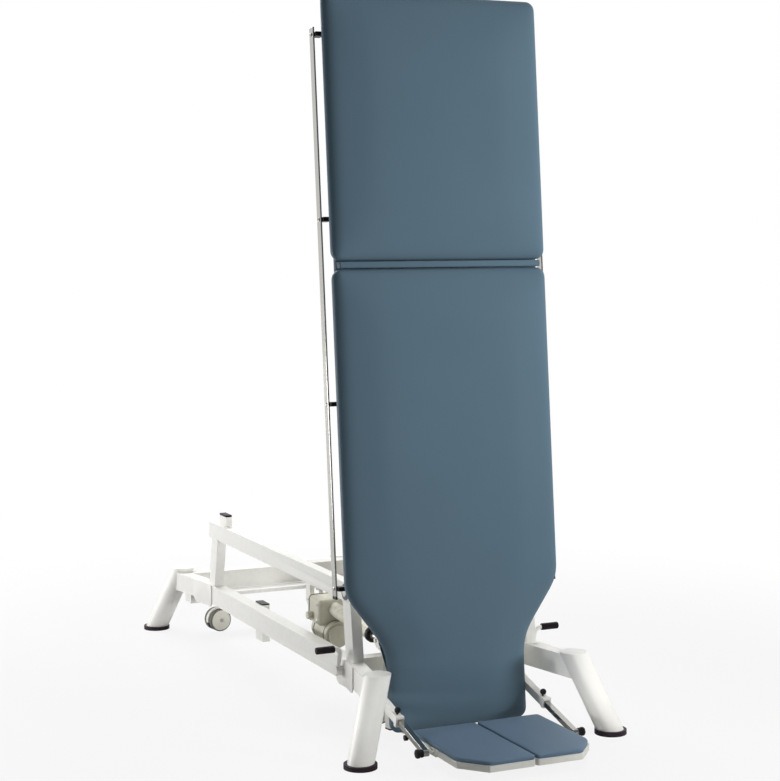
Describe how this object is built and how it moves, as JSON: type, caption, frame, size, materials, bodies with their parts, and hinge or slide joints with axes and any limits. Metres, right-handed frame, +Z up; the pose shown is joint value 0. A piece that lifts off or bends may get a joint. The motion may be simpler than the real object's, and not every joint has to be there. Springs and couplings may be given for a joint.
{
  "type": "physiotherapy tilt table",
  "caption": "Padded treatment table tilted upright on a splayed steel base, with raised side arms, side rails, a split footplate on struts, a tilt actuator and lowering castors.",
  "frame": {"origin": "on the floor, below the middle of the bounding box", "axes": "+X across the table to its right as seen from the foot end, +Y from the foot end to the head end of the base, +Z up"},
  "size_m": [0.814, 2.0499, 1.9651],
  "materials": {
    "white_paint": "satin powder coat",
    "board_white": "painted satin",
    "upholstery_slate": "matt synthetic leather",
    "upholstery_foot": "matt synthetic leather",
    "rail_chrome": "polished",
    "black_plastic": "matt",
    "black_rubber": "matt",
    "grey_plastic": "moulded",
    "castor_plastic": "moulded",
    "castor_tyre": "matt",
    "bright_steel": "ground",
    "bush_plastic": "matt"
  },
  "bodies": {
    "base": {"base_rail_left": "white_paint", "base_rail_right": "white_paint", "rail_ends": "white_paint", "front_crossbeam": "white_paint", "rear_crossbeam": "white_paint", "leg_front_left": "white_paint", "leg_front_right": "white_paint", "leg_rear_left": "white_paint", "leg_rear_right": "white_paint", "rubber_feet": "black_rubber", "front_posts": "white_paint", "rear_posts": "white_paint", "upper_arm_left": "white_paint", "upper_arm_right": "white_paint", "upper_crossbeam": "white_paint", "corner_gussets": "white_paint", "rest_pads": "black_rubber", "guide_tubes": "white_paint", "guide_tube_caps": "black_plastic", "tilt_bushes": "bush_plastic"},
    "pedals": {"pedal_shaft_and_levers": "white_paint", "pedal_grips": "black_rubber"},
    "castor_lift": {"castor_bar_front": "white_paint", "castor_bar_rear": "white_paint"},
    "actuator": {"actuator_housing": "grey_plastic", "actuator_tube": "grey_plastic"},
    "actuator_piston": {"actuator_rod": "bright_steel"},
    "table": {"table_tube_left": "white_paint", "table_tube_right": "white_paint", "table_cross_tubes": "white_paint", "table_lugs": "white_paint", "tilt_shaft": "bright_steel", "support_boards": "board_white", "cushion_lower": "upholstery_slate", "cushion_upper": "upholstery_slate", "gap_strip": "upholstery_slate", "side_rail_left": "rail_chrome", "side_rail_right": "rail_chrome", "side_rail_spacers": "black_plastic", "table_end_caps": "black_plastic", "footplate_carrier": "white_paint"},
    "footplate_left": {"footboard_left": "board_white", "footpad_left": "upholstery_foot"},
    "footplate_right": {"footboard_right": "board_white", "footpad_right": "upholstery_foot"},
    "strut_left": {"strut_tube_left": "white_paint"},
    "strut_right": {"strut_tube_right": "white_paint"},
    "strut_slide_left": {"strut_bar_left": "rail_chrome"},
    "strut_slide_right": {"strut_bar_right": "rail_chrome"},
    "clamp_left": {"clamp_knob_left": "black_plastic"},
    "clamp_right": {"clamp_knob_right": "black_plastic"},
    "castor_front_left": {"castor_housing_front_left": "castor_plastic"},
    "castor_spool_front_left": {"castor_wheels_front_left": "castor_tyre"},
    "castor_front_right": {"castor_housing_front_right": "castor_plastic"},
    "castor_spool_front_right": {"castor_wheels_front_right": "castor_tyre"},
    "castor_rear_left": {"castor_housing_rear_left": "castor_plastic"},
    "castor_spool_rear_left": {"castor_wheels_rear_left": "castor_tyre"},
    "castor_rear_right": {"castor_housing_rear_right": "castor_plastic"},
    "castor_spool_rear_right": {"castor_wheels_rear_right": "castor_tyre"}
  },
  "joints": [
    {"name": "table_tilt", "type": "hinge", "parent": "base", "child": "table", "pos_m": [0, -0.471, 0.383], "axis": [-1, 0, 0], "range_deg": [0, 85]},
    {"name": "actuator_pivot", "type": "hinge", "parent": "base", "child": "actuator", "pos_m": [-0.17, -0.033, 0.272], "axis": [-1, 0, 0], "range_deg": [0, 13.9]},
    {"name": "actuator_stroke", "type": "slide", "parent": "actuator", "child": "actuator_piston", "axis": [0, -0.9978, -0.0665], "range_m": [0, 0.146]},
    {"name": "pedal_swing", "type": "hinge", "parent": "base", "child": "pedals", "pos_m": [0, -0.465, 0.172], "axis": [1, 0, 0], "range_deg": [0, 35.5]},
    {"name": "castor_lift_slide", "type": "slide", "parent": "base", "child": "castor_lift", "axis": [0, 0, -1], "range_m": [0, 0.016]},
    {"name": "castor_swivel_front_left", "type": "hinge", "parent": "castor_lift", "child": "castor_front_left", "pos_m": [-0.15, -0.453, 0.1], "axis": [0, 0, 1], "continuous": true},
    {"name": "castor_roll_front_left", "type": "hinge", "parent": "castor_front_left", "child": "castor_spool_front_left", "pos_m": [-0.16732, -0.443, 0.0475], "axis": [0.5, 0.866, 0], "continuous": true},
    {"name": "castor_swivel_front_right", "type": "hinge", "parent": "castor_lift", "child": "castor_front_right", "pos_m": [0.15, -0.453, 0.1], "axis": [0, 0, 1], "continuous": true},
    {"name": "castor_roll_front_right", "type": "hinge", "parent": "castor_front_right", "child": "castor_spool_front_right", "pos_m": [0.16732, -0.443, 0.0475], "axis": [0.5, -0.866, 0], "continuous": true},
    {"name": "castor_swivel_rear_left", "type": "hinge", "parent": "castor_lift", "child": "castor_rear_left", "pos_m": [-0.178, 0.827, 0.1], "axis": [0, 0, 1], "continuous": true},
    {"name": "castor_roll_rear_left", "type": "hinge", "parent": "castor_rear_left", "child": "castor_spool_rear_left", "pos_m": [-0.19781, 0.82422, 0.0475], "axis": [-0.1392, 0.9903, 0], "continuous": true},
    {"name": "castor_swivel_rear_right", "type": "hinge", "parent": "castor_lift", "child": "castor_rear_right", "pos_m": [0.178, 0.827, 0.1], "axis": [0, 0, 1], "continuous": true},
    {"name": "castor_roll_rear_right", "type": "hinge", "parent": "castor_rear_right", "child": "castor_spool_rear_right", "pos_m": [0.19781, 0.82422, 0.0475], "axis": [-0.1392, -0.9903, 0], "continuous": true},
    {"name": "footplate_hinge_left", "type": "hinge", "parent": "table", "child": "footplate_left", "pos_m": [-0.1, -0.691, 0.035], "axis": [-1, 0, 0], "range_deg": [0, 20]},
    {"name": "strut_pivot_left", "type": "hinge", "parent": "table", "child": "strut_left", "pos_m": [-0.215, -0.553, 0.114], "axis": [-1, 0, 0], "range_deg": [0, 9.8]},
    {"name": "strut_stroke_left", "type": "slide", "parent": "strut_left", "child": "strut_slide_left", "axis": [0, 0.9656, 0.26], "range_m": [0, 0.019]},
    {"name": "clamp_turn_left", "type": "hinge", "parent": "strut_left", "child": "clamp_left", "pos_m": [-0.215, -0.66598, 0.08358], "axis": [0, -0.26, 0.9656], "range_deg": [0, 180]},
    {"name": "footplate_hinge_right", "type": "hinge", "parent": "table", "child": "footplate_right", "pos_m": [0.1, -0.691, 0.035], "axis": [-1, 0, 0], "range_deg": [0, 20]},
    {"name": "strut_pivot_right", "type": "hinge", "parent": "table", "child": "strut_right", "pos_m": [0.215, -0.553, 0.114], "axis": [-1, 0, 0], "range_deg": [0, 9.8]},
    {"name": "strut_stroke_right", "type": "slide", "parent": "strut_right", "child": "strut_slide_right", "axis": [0, 0.9656, 0.26], "range_m": [0, 0.019]},
    {"name": "clamp_turn_right", "type": "hinge", "parent": "strut_right", "child": "clamp_right", "pos_m": [0.215, -0.66598, 0.08358], "axis": [0, -0.26, 0.9656], "range_deg": [0, 180]}
  ],
  "couplings": [
    {"joint": "actuator_pivot", "follows": "table_tilt", "ratio": 0.16146},
    {"joint": "actuator_stroke", "follows": "table_tilt", "m_per_rad": 0.098105},
    {"joint": "pedal_swing", "follows": "castor_lift_slide", "rad_per_m": 38.179},
    {"joint": "strut_pivot_left", "follows": "footplate_hinge_left", "ratio": 0.47957},
    {"joint": "strut_stroke_left", "follows": "footplate_hinge_left", "m_per_rad": 0.053073},
    {"joint": "strut_pivot_right", "follows": "footplate_hinge_right", "ratio": 0.47957},
    {"joint": "strut_stroke_right", "follows": "footplate_hinge_right", "m_per_rad": 0.053073}
  ]
}
